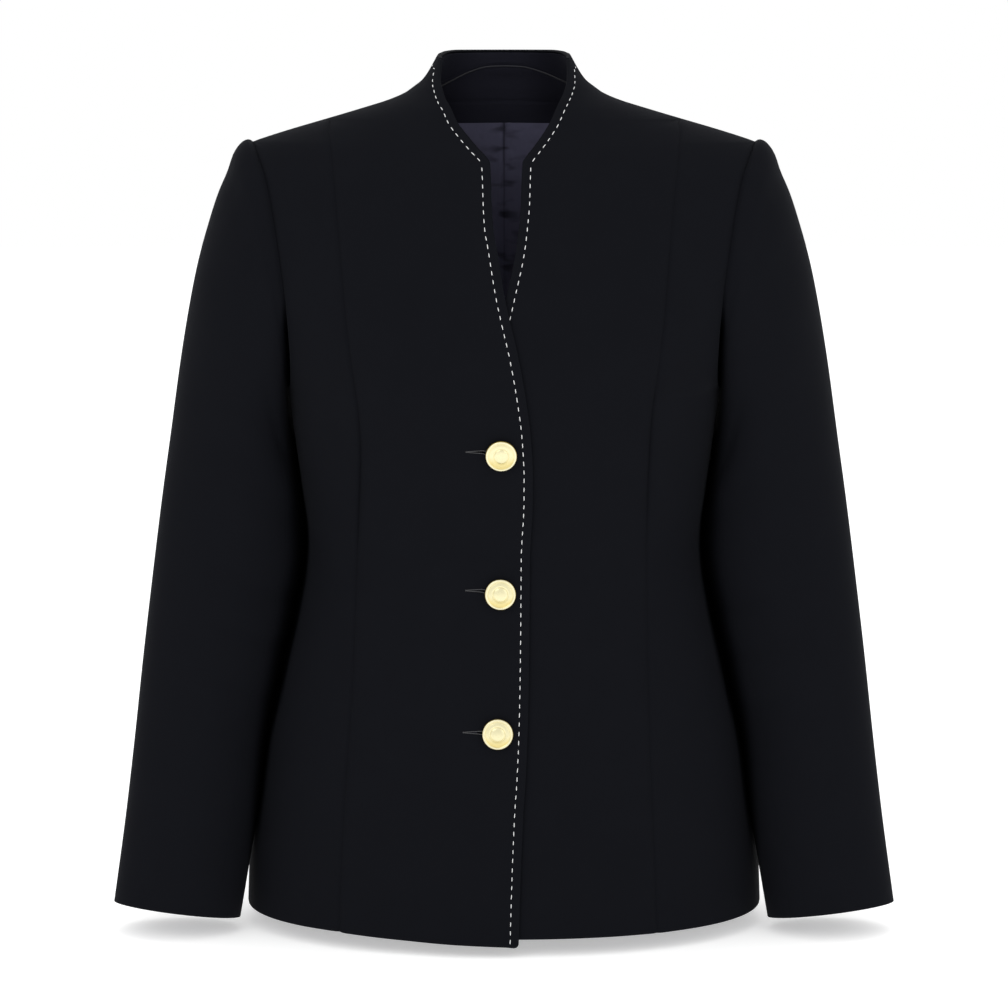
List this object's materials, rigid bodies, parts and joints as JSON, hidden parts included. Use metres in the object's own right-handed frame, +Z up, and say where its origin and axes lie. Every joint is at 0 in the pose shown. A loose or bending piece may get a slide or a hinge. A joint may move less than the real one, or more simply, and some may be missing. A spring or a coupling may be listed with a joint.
{
  "type": "suit jacket",
  "caption": "Tailored suit jacket with a notched stand collar, a V neck lapped right over left, domed metal buttons and set-in two-piece sleeves, filled out as if worn.",
  "frame": {"origin": "midway between the two side neck points, where the wearer's shoulders carry the jacket, on the plane of the shoulder seams", "axes": "+Z up along the wearer's spine, -Y out of the front, +X to the wearer's left"},
  "size_m": [0.596, 0.2539, 0.6595],
  "materials": {
    "wool": "matt fine twill with a soft sheen",
    "lining": "navy satin, softly shiny",
    "button": "pale gilt, satin"
  },
  "bodies": {
    "root": {"front_right_centre": "wool", "front_right_side": "wool", "front_left_centre": "wool", "front_left_side": "wool", "back_right": "wool", "back_left": "wool", "collar_back": "wool", "collar_facing": "wool", "back_neck_facing": "wool", "sleeve_right_top": "wool", "sleeve_right_under": "wool", "sleeve_left_top": "wool", "sleeve_left_under": "wool", "lining_back_right": "lining", "lining_back_left": "lining", "button_top": "button", "button_middle": "button", "button_bottom": "button"}
  },
  "joints": []
}
